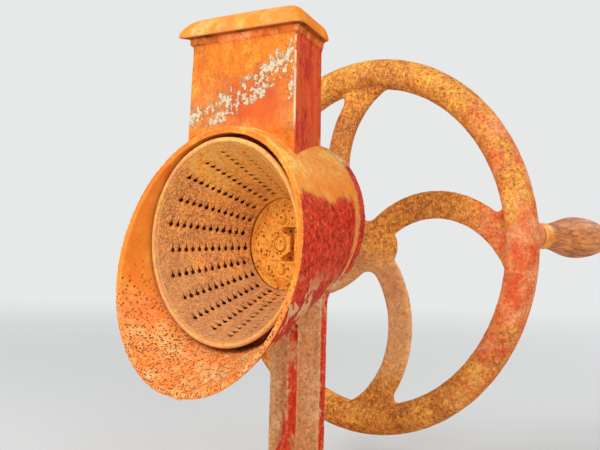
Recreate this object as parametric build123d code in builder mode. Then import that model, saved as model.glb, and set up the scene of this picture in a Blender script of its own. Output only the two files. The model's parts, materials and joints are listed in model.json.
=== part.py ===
from build123d import *
from math import asin, atan2, cos, hypot, pi, radians, sin, tan
import os

os.makedirs("parts", exist_ok=True)

# Rotary cabbage shredder, in millimetres and degrees.
# The origin is the centre of the foot's four bolt holes, on the bench. +Z is up.
# The shaft lies along Y: the grater's mouth opens towards -Y, the hand wheel is at +Y.

# Stand: foot, ribbed leg, round back plate and bearing boss, in one casting
shaft_height = 185.0
plate_front = -13.0
plate_radius = 59.7
plate_rise = 18.2
plate_thickness = 8.0
leg_width = 51.3
leg_blend = 16.0
rib_width = 6.0
rib_depth = 10.0
rib_start = 58.0
rib_toe = 34.0
foot_width = 124.0
foot_length = 136.0
foot_thickness = 9.0
foot_corner = 16.0
foot_bolt_spacing_x = 92.0
foot_bolt_spacing_y = 104.0
foot_bolt_hole_radius = 4.5
foot_pad_radius = 11.0
foot_pad_height = 2.5
back_rib_height = 24.0
back_rib_toe = 34.0
boss_length = 48.0
boss_root_radius = 21.0
boss_tip_radius = 17.0
boss_gusset_drop = 34.0
boss_gusset_reach = 28.0
oil_hole_radius = 2.5

# Shaft, bushes and running fits
journal_radius = 8.0
running_clearance = 0.05
seat_clearance = 0.02
end_play = 0.3
bush_wall = 2.0
bush_length = 20.0
bush_flange_radius = 14.0
bush_flange_thickness = 3.0
square_across_flats = 13.0
thread_radius = 6.0
wheel_seat_radius = 7.0
shaft_end_chamfer = 1.2

# Grater cone: punched sheet, wired mouth, dished end disc and cast drive hub
cone_mouth_radius = 75.0
cone_end_radius = 34.3
cone_depth = 67.5
sheet = 1.0
bead_radius = 0.9
tooth_rows = 21
teeth_per_row = 12
first_row_angle = -2.7
first_tooth = 12.5
last_tooth = 5.0
tooth_width = 2.6
tooth_tail = 5.4
tooth_heel = 1.4
disc_sheet = 1.5
dish_height = 3.5
dish_flat_radius = 25.0
hub_radius = 24.0
hub_thickness = 13.2
hub_edge = 2.0
pocket_side = 24.8
pocket_depth = 7.5
hub_rivet_circle = 18.9
hub_rivet_radius = 2.5
rivet_head_radius = 4.2
rivet_head_height = 1.4
rivet_shoulder = 0.85

# Nuts and washers
nut_across_flats = 19.0
nut_thickness = 8.5
washer_radius = 11.5
washer_thickness = 1.8
thread_clearance = 0.05
washer_clearance = 0.3
nut_end_stand = 0.8
nut_chamfer_angle = 30.0

# Housing: body from a leaning oval mouth to the round back, with a wedge-shaped hopper on top
wall = 5.5
mouth_half_width = 90.6
mouth_half_height = 97.8
mouth_ahead = 17.7
mouth_drop = 12.6
mouth_lean = 12.1
hopper_wall = 4.5
hopper_front_width = 105.6
hopper_back_width = 40.0
hopper_setback = 15.7
hopper_rise = 147.0
hopper_draft = 2.6
hopper_corner = 1.5
step_height = 5.4
step_overhang = 1.5
rim_overhang = 6.2
rim_height = 17.3
rim_depth = 19.5
rim_levels = 5
rim_last_level = 72.0
rim_corner = 6.0

# Screws that hold the housing to the stand's plate, from behind
screw_spacing_x = 67.0
screw_spacing_z = 57.0
screw_radius = 3.0
screw_length = 19.0
screw_head_across_flats = 10.0
screw_head_height = 4.0
screw_washer_radius = 6.0
screw_washer_thickness = 1.6
lug_radius = 7.0
lug_depth = 11.0
lug_spread = 8.5

# Hand wheel
wheel_station = 78.5
ring_radius = 142.5
ring_section_radius = 12.7
ring_overlap = 2.5
spoke_count = 4
spoke_width = 22.5
spoke_thickness = 6.5
spoke_ahead = 1.8
spoke_edge = 2.4
spoke_sweep = 120.7
spoke_lean = -35.7
spoke_hub_blend = 12.0
spoke_ring_blend = 6.0
wheel_hub_radius = 21.0
wheel_hub_nose_radius = 14.5
wheel_hub_flare_radius = 22.0
wheel_hub_edge = 2.0
wheel_hub_behind = 13.0
wheel_seat_short = 1.0
key_side = 5.0
key_length = 28.0
key_depth = 3.0
key_clearance = 0.05

# Handle
handle_angle = 4.5
handle_boss_radius = 12.0
handle_boss_height = 2.0
spindle_radius = 4.5
spindle_root_radius = 5.0
spindle_root_length = 18.0
spindle_hole_extra = 1.0
spindle_step = 0.5
collar_radius = 9.5
collar_thickness = 3.5
grip_length = 104.0
grip_neck_radius = 9.6
grip_belly_radius = 15.5
grip_belly_place = 64.5
grip_end_radius = 11.5
grip_end_round = 4.0
grip_end_fall = -0.8
grip_play = 0.3
grip_bore_clearance = 0.1
ferrule_length = 13.0
ferrule_wall = 1.4
ferrule_proud = 0.4
grip_washer_radius = 8.5
grip_washer_thickness = 1.6
spindle_nut_across_flats = 13.0
spindle_nut_thickness = 6.5
spindle_end_stand = 1.2

# Places along the shaft that follow from these sizes
plate_back = plate_front + plate_thickness
boss_end = plate_back + boss_length
hub_back = plate_front - bush_flange_thickness - end_play
hub_front = hub_back - hub_thickness
dish_front = hub_front - disc_sheet
disc_front = dish_front + dish_height
cone_mouth = disc_front - cone_depth
pocket_floor = hub_front + pocket_depth
cone_nut_back = pocket_floor - washer_thickness
cone_nut_front = cone_nut_back - nut_thickness
bore_radius = journal_radius + running_clearance + bush_wall + seat_clearance
bush_radius = journal_radius + running_clearance + bush_wall
wheel_hub_front = boss_end + bush_flange_thickness + end_play
wheel_hub_back = wheel_station + wheel_hub_behind
wheel_washer_back = wheel_hub_back + washer_thickness
wheel_nut_back = wheel_washer_back + nut_thickness
mouth_station = cone_mouth - mouth_ahead
hopper_front = cone_mouth + hopper_setback
hopper_depth = plate_front - hopper_front
hopper_top = shaft_height + hopper_rise
ring_back = wheel_station + ring_section_radius
collar_front = ring_back + handle_boss_height
collar_back = collar_front + collar_thickness
grip_front = collar_back + grip_play
grip_back = grip_front + grip_length
grip_washer_front = grip_back + grip_play
spindle_nut_front = grip_washer_front + grip_washer_thickness
spindle_nut_back = spindle_nut_front + spindle_nut_thickness

shaft_axis = Axis((0, 0, shaft_height), (0, 1, 0))
shaft_section = Plane(origin=(0, 0, shaft_height), x_dir=(0, 1, 0), z_dir=(1, 0, 0))
handle_x = ring_radius * cos(radians(handle_angle))
handle_z = shaft_height + ring_radius * sin(radians(handle_angle))
handle_axis = Axis((handle_x, 0, handle_z), (0, 1, 0))
handle_section = Plane(origin=(handle_x, 0, handle_z), x_dir=(0, 1, 0), z_dir=(1, 0, 0))
screw_grid = (screw_spacing_x, screw_spacing_z, 2, 2)
# how far from its own place an outline's corner may be and still be picked for rounding
pick_margin = 0.5


def station(y, x=0.0, z=shaft_height):
    """A plane square to the shaft at y. Its own x is X, its own y is Z from the shaft."""
    return Plane(origin=(x, y, z), x_dir=(1, 0, 0), z_dir=(0, -1, 0))


def polar(radius, angle):
    """A point at a radius and an angle from the shaft, for use on a station."""
    return (radius * cos(radians(angle)), radius * sin(radians(angle)))


def disc(y_front, y_back, radius, x=0.0, z=shaft_height, mode=Mode.ADD):
    """A round piece along the shaft's direction, added to the part being built."""
    with BuildSketch(station(y_front, x, z)) as outline:
        Circle(radius)
    extrude(outline.sketch, amount=y_front - y_back, mode=mode)


def hexagon(y_front, y_back, across_flats, x=0.0, z=shaft_height, mode=Mode.ADD):
    """A six-sided piece along the shaft's direction, with a corner on top."""
    with BuildSketch(station(y_front, x, z)) as outline:
        RegularPolygon(across_flats / 2, 6, major_radius=False, rotation=30)
    extrude(outline.sketch, amount=y_front - y_back, mode=mode)


def turned(points, section=shaft_section, axis=shaft_axis, mode=Mode.ADD):
    """A lathe form from (place along Y, radius) points, added to the part being built."""
    with BuildSketch(section) as outline:
        with BuildLine():
            Polyline(*points, close=True)
        make_face()
    revolve(outline.sketch, axis=axis, mode=mode)


def write(piece, name):
    piece.part.label = name
    export_step(piece.part, f"parts/{name}.step")


# ---------------------------------------------------------------- stand
leg_foot = foot_thickness - shaft_height

with BuildPart() as stand:
    with BuildSketch(station(plate_front)) as plate_outline:
        with Locations((0, plate_rise)):
            Circle(plate_radius)
        with Locations((0, leg_foot)):
            Rectangle(leg_width, -leg_foot, align=(Align.CENTER, Align.MIN))
        corners = plate_outline.vertices().filter_by_position(
            Axis.Y, leg_foot + pick_margin, plate_rise - pick_margin
        )
        fillet(corners, leg_blend)
    extrude(amount=-plate_thickness)
    with BuildSketch(Plane.XY):
        RectangleRounded(foot_width, foot_length, foot_corner)
    extrude(amount=foot_thickness)
    with BuildSketch(Plane.XY.offset(foot_thickness)):
        with GridLocations(foot_bolt_spacing_x, foot_bolt_spacing_y, 2, 2):
            Circle(foot_pad_radius)
    extrude(amount=foot_pad_height)
    # the rib on the front of the leg runs out into a toe on the foot
    with BuildSketch(shaft_section):
        with BuildLine():
            Polyline(
                (plate_front, -rib_start),
                (plate_front - rib_depth, -rib_start - rib_depth),
                (plate_front - rib_depth, leg_foot + rib_toe),
                (plate_front - rib_depth - rib_toe / 2, leg_foot),
                (plate_front, leg_foot),
                close=True,
            )
        make_face()
    extrude(amount=rib_width / 2, both=True)
    # ribs behind the leg: one rises from the foot, one props the boss
    with BuildSketch(shaft_section):
        with BuildLine():
            Polyline(
                (plate_back, leg_foot + back_rib_height),
                (plate_back, leg_foot),
                (plate_back + back_rib_toe, leg_foot),
                close=True,
            )
        make_face()
        with BuildLine():
            Polyline(
                (plate_back, -boss_root_radius - boss_gusset_drop),
                (plate_back + boss_gusset_reach, -boss_tip_radius),
                (plate_back + boss_gusset_reach, 0),
                (plate_back, 0),
                close=True,
            )
        make_face()
    extrude(amount=rib_width / 2, both=True)
    turned(
        [
            (plate_back, 0),
            (plate_back, boss_root_radius + bush_wall),
            (plate_back + bush_wall, boss_root_radius),
            (boss_end, boss_tip_radius),
            (boss_end, 0),
        ]
    )
    disc(plate_front, boss_end, bore_radius, mode=Mode.SUBTRACT)
    # oil hole from the top of the boss into the space between the bushes
    with Locations((0, (plate_front + boss_end) / 2, shaft_height)):
        Cylinder(
            oil_hole_radius,
            boss_root_radius + bush_wall,
            align=(Align.CENTER, Align.CENTER, Align.MIN),
            mode=Mode.SUBTRACT,
        )
    with BuildSketch(station(plate_front)):
        with Locations((0, plate_rise)):
            with GridLocations(*screw_grid):
                Circle(screw_radius + washer_clearance)
    extrude(amount=-plate_thickness, mode=Mode.SUBTRACT)
    with BuildSketch(Plane.XY):
        with GridLocations(foot_bolt_spacing_x, foot_bolt_spacing_y, 2, 2):
            Circle(foot_bolt_hole_radius)
    extrude(amount=foot_thickness + foot_pad_height, mode=Mode.SUBTRACT)

write(stand, "stand")

# ---------------------------------------------------------------- housing
lean = radians(mouth_lean)
mouth_plane = Plane(
    origin=(0, mouth_station, shaft_height - mouth_drop),
    x_dir=(1, 0, 0),
    z_dir=(0, -cos(lean), sin(lean)),
)


def hopper_plan(z, overhang, corner, back=plate_front):
    """The hopper's wedge-shaped outline at height z, wider than its outer walls by overhang."""
    taper = (hopper_front_width - hopper_back_width) / 2 / hopper_depth
    side = overhang * hypot(1, taper)
    front = hopper_front - overhang
    front_half = hopper_front_width / 2 + side + (hopper_front - front) * taper
    back_half = hopper_back_width / 2 + side + (plate_front - back) * taper
    with BuildSketch(Plane.XY.offset(z)) as plan:
        with BuildLine():
            Polyline(
                (-front_half, front),
                (front_half, front),
                (back_half, back),
                (-back_half, back),
                close=True,
            )
        make_face()
        fillet(plan.vertices().sort_by(Axis.Y)[:2], corner)
    return plan.sketch


with BuildPart() as body_form:
    with BuildSketch(mouth_plane):
        Ellipse(mouth_half_width, mouth_half_height)
    with BuildSketch(station(plate_front)):
        with Locations((0, plate_rise)):
            Circle(plate_radius)
    loft(ruled=True)

with BuildPart() as cavity:
    with BuildSketch(mouth_plane):
        Ellipse(mouth_half_width - wall, mouth_half_height - wall)
    with BuildSketch(station(plate_front)):
        with Locations((0, plate_rise)):
            Circle(plate_radius - wall)
    loft(ruled=True)

with BuildPart() as lugs:
    with BuildSketch(station(plate_front)):
        for side in (-1, 1):
            for level in (-1, 1):
                seat = (side * screw_spacing_x / 2, plate_rise + level * screw_spacing_z / 2)
                reach = (seat[0] + side * lug_spread, seat[1] + level * lug_spread)
                SlotCenterPoint(reach, seat, 2 * lug_radius)
    extrude(amount=lug_depth)
    add(body_form.part, mode=Mode.INTERSECT)

rim_foot = hopper_top + step_height

with BuildPart() as rim:
    # a convex moulding that leans in as it rises, with mitred corners
    sections = []
    for level in range(rim_levels):
        rise = radians(level * rim_last_level / (rim_levels - 1))
        inset = rim_depth * (1 - cos(rise))
        sections.append(hopper_plan(rim_foot + rim_height * sin(rise), rim_overhang - inset, rim_corner))
    loft(sections)

with BuildPart() as housing:
    add(body_form.part)
    outer_walls = [
        hopper_plan(shaft_height, hopper_draft, hopper_corner),
        hopper_plan(hopper_top, 0, hopper_corner),
    ]
    loft(outer_walls, ruled=True)
    extrude(hopper_plan(hopper_top, step_overhang, hopper_corner), amount=step_height)
    add(rim.part)
    add(cavity.part, mode=Mode.SUBTRACT)
    throat_back = plate_front - hopper_wall
    throat = hopper_plan(shaft_height + plate_rise, -hopper_wall, hopper_corner, throat_back)
    extrude(throat, amount=hopper_rise + step_height + rim_height, mode=Mode.SUBTRACT)
    add(lugs.part)
    with BuildSketch(station(plate_front)):
        with Locations((0, plate_rise)):
            with GridLocations(*screw_grid):
                Circle(screw_radius + thread_clearance)
    extrude(amount=lug_depth, mode=Mode.SUBTRACT)

write(housing, "housing")

# ---------------------------------------------------------------- housing screws
screw_seat = plate_back + screw_washer_thickness
screw_level = shaft_height + plate_rise
screw_places = [(at.position.X, screw_level + at.position.Y) for at in GridLocations(*screw_grid)]

with BuildPart() as housing_screws:
    for x, z in screw_places:
        disc(screw_seat - screw_length, screw_seat, screw_radius, x, z)
        hexagon(screw_seat, screw_seat + screw_head_height, screw_head_across_flats, x, z)

with BuildPart() as screw_washers:
    for x, z in screw_places:
        disc(plate_back, screw_seat, screw_washer_radius, x, z)
        disc(plate_back, screw_seat, screw_radius + washer_clearance, x, z, Mode.SUBTRACT)

write(housing_screws, "housing_screws")
write(screw_washers, "screw_washers")

# ---------------------------------------------------------------- bushes
bush_bore = journal_radius + running_clearance

with BuildPart() as front_bush:
    disc(plate_front - bush_flange_thickness, plate_front, bush_flange_radius)
    disc(plate_front, plate_front + bush_length, bush_radius)
    disc(plate_front - bush_flange_thickness, plate_front + bush_length, bush_bore, mode=Mode.SUBTRACT)

with BuildPart() as rear_bush:
    disc(boss_end, boss_end + bush_flange_thickness, bush_flange_radius)
    disc(boss_end - bush_length, boss_end, bush_radius)
    disc(boss_end - bush_length, boss_end + bush_flange_thickness, bush_bore, mode=Mode.SUBTRACT)

write(front_bush, "front_bush")
write(rear_bush, "rear_bush")

# ---------------------------------------------------------------- shaft
shaft_front = cone_nut_front - nut_end_stand
shaft_back = wheel_nut_back + nut_end_stand
wheel_seat_back = wheel_hub_back - wheel_seat_short
key_centre = (wheel_hub_front + wheel_hub_back) / 2
key_floor = wheel_seat_radius - key_depth

with BuildPart() as shaft:
    turned(
        [
            (shaft_front, 0),
            (shaft_front, thread_radius - shaft_end_chamfer),
            (shaft_front + shaft_end_chamfer, thread_radius),
            (pocket_floor, thread_radius),
            (pocket_floor, journal_radius),
            (wheel_hub_front, journal_radius),
            (wheel_hub_front, wheel_seat_radius),
            (wheel_seat_back, wheel_seat_radius),
            (wheel_seat_back, thread_radius),
            (shaft_back - shaft_end_chamfer, thread_radius),
            (shaft_back, thread_radius - shaft_end_chamfer),
            (shaft_back, 0),
        ]
    )
    # four flats make the square that turns the drive hub
    with BuildSketch(station(pocket_floor)):
        Circle(2 * journal_radius)
        Rectangle(square_across_flats, square_across_flats, mode=Mode.SUBTRACT)
    extrude(amount=pocket_floor - hub_back, mode=Mode.SUBTRACT)
    with Locations((0, key_centre, shaft_height + key_floor)):
        Box(
            key_side,
            key_length,
            key_side,
            align=(Align.CENTER, Align.CENTER, Align.MIN),
            mode=Mode.SUBTRACT,
        )

write(shaft, "shaft")

# ---------------------------------------------------------------- grater cone
roll_radius = bead_radius + seat_clearance + sheet
roll_centre = (cone_mouth + roll_radius, cone_mouth_radius - roll_radius)
roll_run = disc_front - roll_centre[0]
roll_rise = roll_centre[1] - cone_end_radius
# the sheet's inner face runs from the disc as a tangent to the roll round the wire
lean_in = atan2(roll_rise, roll_run) - asin(roll_radius / hypot(roll_run, roll_rise))
cone_rise = cone_depth * tan(lean_in)
mouth_inner = cone_end_radius + cone_rise
slant = hypot(cone_rise, cone_depth)
sheet_wide = sheet / cos(lean_in)
touch = (roll_centre[0] - roll_radius * sin(lean_in), roll_centre[1] - roll_radius * cos(lean_in))

with BuildPart() as grater_cone:
    with BuildSketch(shaft_section) as sheet_section:
        with BuildLine():
            Polyline(
                touch,
                (touch[0] + sheet * sin(lean_in), touch[1] + sheet * cos(lean_in)),
                (disc_front, cone_end_radius + sheet_wide),
                (disc_front, cone_end_radius),
                close=True,
            )
        make_face()
        with Locations(roll_centre):
            Circle(roll_radius)
            Circle(bead_radius + seat_clearance, mode=Mode.SUBTRACT)
    revolve(axis=shaft_axis)
    # each tooth is a hole with a long tail, punched square to the sheet
    pitch = (slant - first_tooth - last_tooth) / (teeth_per_row - 0.5)
    punches = []
    for row in range(tooth_rows):
        angle = radians(first_row_angle + row * 360 / tooth_rows)
        outward = Vector(cos(angle), 0, sin(angle))
        along = (Vector(0, cone_depth, 0) - outward * cone_rise).normalized()
        face_out = (outward * cone_depth + Vector(0, cone_rise, 0)).normalized()
        start = Vector(0, cone_mouth, shaft_height) + outward * mouth_inner
        shift = first_tooth + pitch / 2 * (row % 2)
        with BuildSketch(Plane(origin=start, x_dir=along, z_dir=face_out)) as row_holes:
            for tooth in range(teeth_per_row):
                place = shift + tooth * pitch
                with BuildLine():
                    Polyline(
                        (place, tooth_heel),
                        (place + tooth_width / 2, 0),
                        (place, -tooth_tail),
                        (place - tooth_width / 2, 0),
                        close=True,
                    )
                make_face()
        punches += extrude(row_holes.sketch, amount=2 * sheet, both=True, mode=Mode.PRIVATE).solids()
    add(punches, mode=Mode.SUBTRACT)

write(grater_cone, "grater_cone")

with BuildPart() as cone_bead:
    with BuildSketch(shaft_section):
        with Locations(roll_centre):
            Circle(bead_radius)
    revolve(axis=shaft_axis)

write(cone_bead, "cone_bead")

with BuildPart() as end_disc:
    # dished towards the mouth, with its rim closing the cone's narrow end
    dish_foot_radius = cone_end_radius - dish_height / 2
    turned(
        [
            (dish_front, 0),
            (dish_front, dish_flat_radius),
            (disc_front, dish_foot_radius),
            (disc_front, cone_end_radius + sheet_wide),
            (disc_front + disc_sheet, cone_end_radius + sheet_wide),
            (disc_front + disc_sheet, dish_foot_radius - disc_sheet / 2),
            (hub_front, dish_flat_radius - disc_sheet / 2),
            (hub_front, 0),
        ]
    )
    with BuildSketch(station(dish_front)):
        Rectangle(pocket_side, pocket_side)
        with Locations(polar(hub_rivet_circle, 90), polar(hub_rivet_circle, -90)):
            Circle(hub_rivet_radius + seat_clearance)
    extrude(amount=-disc_sheet, mode=Mode.SUBTRACT)

write(end_disc, "end_disc")

with BuildPart() as drive_hub:
    disc(hub_front, hub_back, hub_radius)
    fillet(drive_hub.edges().sort_by(Axis.Y)[-1], hub_edge)
    with BuildSketch(station(hub_front)):
        Rectangle(pocket_side, pocket_side)
    extrude(amount=-pocket_depth, mode=Mode.SUBTRACT)
    with BuildSketch(station(hub_front)):
        Rectangle(square_across_flats + 2 * seat_clearance, square_across_flats + 2 * seat_clearance)
        with Locations(polar(hub_rivet_circle, 90), polar(hub_rivet_circle, -90)):
            Circle(hub_rivet_radius + seat_clearance)
    extrude(amount=-hub_thickness, mode=Mode.SUBTRACT)

write(drive_hub, "drive_hub")

with BuildPart() as hub_rivets:
    for angle in (90, -90):
        x, rise = polar(hub_rivet_circle, angle)
        section = Plane(origin=(x, 0, shaft_height + rise), x_dir=(0, 1, 0), z_dir=(1, 0, 0))
        axis = Axis(section.origin, (0, 1, 0))
        turned(
            [
                (dish_front - rivet_head_height, 0),
                (dish_front - rivet_head_height, rivet_head_radius / 2),
                (dish_front - rivet_head_height / 2, rivet_head_radius * rivet_shoulder),
                (dish_front, rivet_head_radius),
                (dish_front, hub_rivet_radius),
                (hub_back, hub_rivet_radius),
                (hub_back, 0),
            ],
            section,
            axis,
        )

write(hub_rivets, "hub_rivets")


def washer(y_front, name):
    """A plain washer for the shaft's threads."""
    with BuildPart() as piece:
        disc(y_front, y_front + washer_thickness, washer_radius)
        disc(y_front, y_front + washer_thickness, thread_radius + washer_clearance, mode=Mode.SUBTRACT)
    write(piece, name)


def nut(y_front, y_back, across_flats, bore, name, x=0.0, z=shaft_height):
    """A six-sided nut with its corners turned down on both faces."""
    corner = across_flats / 2 / cos(pi / 6)
    middle = (y_front + y_back) / 2
    chamfer_run = (corner - across_flats / 2) * tan(radians(nut_chamfer_angle))
    with BuildPart() as piece:
        hexagon(y_front, y_back, across_flats, x, z)
        section = Plane(origin=(x, 0, z), x_dir=(0, 1, 0), z_dir=(1, 0, 0))
        with BuildSketch(section):
            with BuildLine():
                Polyline(
                    (y_front, 0),
                    (y_front, across_flats / 2),
                    (y_front + chamfer_run, corner),
                    (middle, across_flats),
                    (y_back - chamfer_run, corner),
                    (y_back, across_flats / 2),
                    (y_back, 0),
                    close=True,
                )
            make_face()
        revolve(axis=Axis((x, 0, z), (0, 1, 0)), mode=Mode.INTERSECT)
        disc(y_front, y_back, bore, x, z, Mode.SUBTRACT)
    write(piece, name)


washer(cone_nut_back, "nut_washer")
nut(cone_nut_front, cone_nut_back, nut_across_flats, thread_radius + thread_clearance, "cone_nut")

# ---------------------------------------------------------------- hand wheel
spoke_curve_radius = ring_radius / 2 / sin(radians(spoke_sweep / 2))
curve_centre = polar(spoke_curve_radius, spoke_lean)
slab_front = wheel_station - spoke_ahead - spoke_thickness / 2
slab_inner = ring_radius - ring_section_radius + ring_overlap
nose_end = slab_front - wheel_hub_nose_radius
wheel_bore = wheel_seat_radius + seat_clearance
key_top = key_floor + key_side

with BuildSketch(Plane.XY) as spoke:
    with BuildLine():
        CenterArc(curve_centre, spoke_curve_radius, spoke_lean + 180, -spoke_sweep)
    trace(line_width=spoke_width)

with BuildPart() as hand_wheel:
    # curved spokes, each an arc through the wheel's centre, flared into hub and ring
    with BuildSketch(station(slab_front)) as spider:
        Circle(ring_radius)
        Circle(slab_inner, mode=Mode.SUBTRACT)
        with PolarLocations(0, spoke_count):
            add(spoke.sketch)
        Circle(wheel_hub_nose_radius)
        at_ring = spider.vertices().filter_by(
            lambda v: abs(hypot(v.X, v.Y) - slab_inner) < pick_margin
        )
        fillet(at_ring, spoke_ring_blend)
        at_hub = spider.vertices().filter_by(
            lambda v: pick_margin < hypot(v.X, v.Y) < slab_inner / 2
        )
        fillet(at_hub, spoke_hub_blend)
    extrude(amount=-spoke_thickness)
    faces = hand_wheel.faces().filter_by(Axis.Y)
    fillet(faces.edges(), spoke_edge)
    with BuildSketch(shaft_section):
        with Locations((wheel_station, ring_radius)):
            Circle(ring_section_radius)
    revolve(axis=shaft_axis)
    with BuildSketch(shaft_section):
        with BuildLine():
            Polyline(
                (nose_end, wheel_hub_nose_radius),
                (wheel_hub_front, wheel_hub_nose_radius),
                (wheel_hub_front, 0),
                (wheel_hub_back, 0),
                (wheel_hub_back, wheel_hub_radius - wheel_hub_edge),
                (wheel_hub_back - wheel_hub_edge, wheel_hub_radius),
                (slab_front, wheel_hub_radius),
            )
            RadiusArc(
                (slab_front, wheel_hub_radius),
                (nose_end, wheel_hub_nose_radius),
                wheel_hub_flare_radius,
            )
        make_face()
    revolve(axis=shaft_axis)
    disc(wheel_station, collar_front, handle_boss_radius, handle_x, handle_z)
    disc(wheel_hub_front, wheel_hub_back, wheel_bore, mode=Mode.SUBTRACT)
    with Locations((0, key_centre, shaft_height)):
        Box(
            key_side + 2 * key_clearance,
            wheel_hub_back - wheel_hub_front,
            key_top + key_clearance,
            align=(Align.CENTER, Align.CENTER, Align.MIN),
            mode=Mode.SUBTRACT,
        )
    tapped = spindle_root_radius + thread_clearance
    hole_front = collar_front - spindle_root_length - spindle_hole_extra
    disc(hole_front, collar_front, tapped, handle_x, handle_z, Mode.SUBTRACT)

write(hand_wheel, "hand_wheel")

with BuildPart() as wheel_key:
    with Locations((0, key_centre, shaft_height + key_floor)):
        Box(
            key_side - 2 * key_clearance,
            key_length - 2 * key_clearance,
            key_side,
            align=(Align.CENTER, Align.CENTER, Align.MIN),
        )
write(wheel_key, "wheel_key")

washer(wheel_hub_back, "wheel_washer")
nut(wheel_washer_back, wheel_nut_back, nut_across_flats, thread_radius + thread_clearance, "wheel_nut")

# ---------------------------------------------------------------- handle
spindle_thread_radius = spindle_radius - spindle_step
spindle_back = spindle_nut_back + spindle_end_stand

with BuildPart() as handle_spindle:
    turned(
        [
            (collar_front - spindle_root_length, 0),
            (collar_front - spindle_root_length, spindle_root_radius),
            (collar_front, spindle_root_radius),
            (collar_front, collar_radius),
            (collar_back, collar_radius),
            (collar_back, spindle_radius),
            (grip_washer_front, spindle_radius),
            (grip_washer_front, spindle_thread_radius),
            (spindle_back, spindle_thread_radius),
            (spindle_back, 0),
        ],
        handle_section,
        handle_axis,
    )
write(handle_spindle, "handle_spindle")

grip_bore = spindle_radius + grip_bore_clearance
ferrule_seat = grip_neck_radius - ferrule_wall

with BuildPart() as handle_grip:
    with BuildSketch(handle_section):
        with BuildLine():
            Polyline(
                (grip_back, grip_end_radius - grip_end_round),
                (grip_back, grip_bore),
                (grip_front, grip_bore),
                (grip_front, ferrule_seat),
                (grip_front + ferrule_length, ferrule_seat),
                (grip_front + ferrule_length, grip_neck_radius),
            )
            Spline(
                (grip_front + ferrule_length, grip_neck_radius),
                (grip_front + grip_belly_place, grip_belly_radius),
                (grip_back - grip_end_round, grip_end_radius),
                tangents=((1, 0), (1, grip_end_fall)),
            )
            RadiusArc(
                (grip_back - grip_end_round, grip_end_radius),
                (grip_back, grip_end_radius - grip_end_round),
                1.2 * grip_end_round,
            )
        make_face()
    revolve(axis=handle_axis)
write(handle_grip, "handle_grip")

ferrule_bore = ferrule_seat + seat_clearance

with BuildPart() as grip_ferrule:
    ferrule_back = grip_front + ferrule_length - seat_clearance
    disc(grip_front, ferrule_back, grip_neck_radius + ferrule_proud, handle_x, handle_z)
    disc(grip_front, ferrule_back, ferrule_bore, handle_x, handle_z, Mode.SUBTRACT)
write(grip_ferrule, "grip_ferrule")

with BuildPart() as grip_washer:
    disc(grip_washer_front, spindle_nut_front, grip_washer_radius, handle_x, handle_z)
    bore = spindle_thread_radius + thread_clearance
    disc(grip_washer_front, spindle_nut_front, bore, handle_x, handle_z, Mode.SUBTRACT)
write(grip_washer, "grip_washer")

nut(
    spindle_nut_front,
    spindle_nut_back,
    spindle_nut_across_flats,
    spindle_thread_radius + thread_clearance,
    "spindle_nut",
    handle_x,
    handle_z,
)
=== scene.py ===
import bmesh
import bpy
import json
import math
from mathutils import Matrix, Vector, noise


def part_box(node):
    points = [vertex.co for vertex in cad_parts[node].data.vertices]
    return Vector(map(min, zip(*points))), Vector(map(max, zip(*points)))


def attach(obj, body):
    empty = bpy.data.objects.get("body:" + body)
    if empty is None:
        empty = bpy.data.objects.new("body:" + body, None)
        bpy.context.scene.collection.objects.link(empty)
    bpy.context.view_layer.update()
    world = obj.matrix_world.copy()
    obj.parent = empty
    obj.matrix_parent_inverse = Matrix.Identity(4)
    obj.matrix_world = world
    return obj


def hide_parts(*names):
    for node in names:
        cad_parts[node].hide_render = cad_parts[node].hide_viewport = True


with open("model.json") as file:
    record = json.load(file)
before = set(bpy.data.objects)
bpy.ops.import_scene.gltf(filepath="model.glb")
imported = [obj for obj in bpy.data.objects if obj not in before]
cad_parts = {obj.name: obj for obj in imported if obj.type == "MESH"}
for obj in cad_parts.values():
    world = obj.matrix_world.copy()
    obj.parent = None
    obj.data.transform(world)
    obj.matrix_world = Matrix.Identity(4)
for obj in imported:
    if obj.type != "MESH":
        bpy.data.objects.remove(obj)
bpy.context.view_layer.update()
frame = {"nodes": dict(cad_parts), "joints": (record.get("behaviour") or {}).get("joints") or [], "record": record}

MM = 0.001

# The camera, as fitted to the object's outlines in the photograph
AZIMUTH = math.radians(41.08)
ELEVATION = math.radians(-1.01)
ROLL = math.radians(1.49)
DISTANCE = 0.76012
FOCAL_PIXELS = 1073.76
IMAGE_WIDTH = 600
IMAGE_HEIGHT = 450
AIM_PIXEL = (220.98, 242.44)
SENSOR = 36.0

# What the frame says: each node's body, the two joints and the shaft's height, in metres
BODY_OF = {node: body for body, nodes in frame["record"]["behaviour"]["bodies"].items() for node in nodes}
CRANK = next(joint for joint in frame["joints"] if joint["name"] == "crank_turn")
GRIP = next(joint for joint in frame["joints"] if joint["name"] == "grip_spin")
SHAFT_Z = CRANK["pos_m"][2]
MOUTH = Vector((0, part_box("grater_cone")[0].y, SHAFT_Z))

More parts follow.
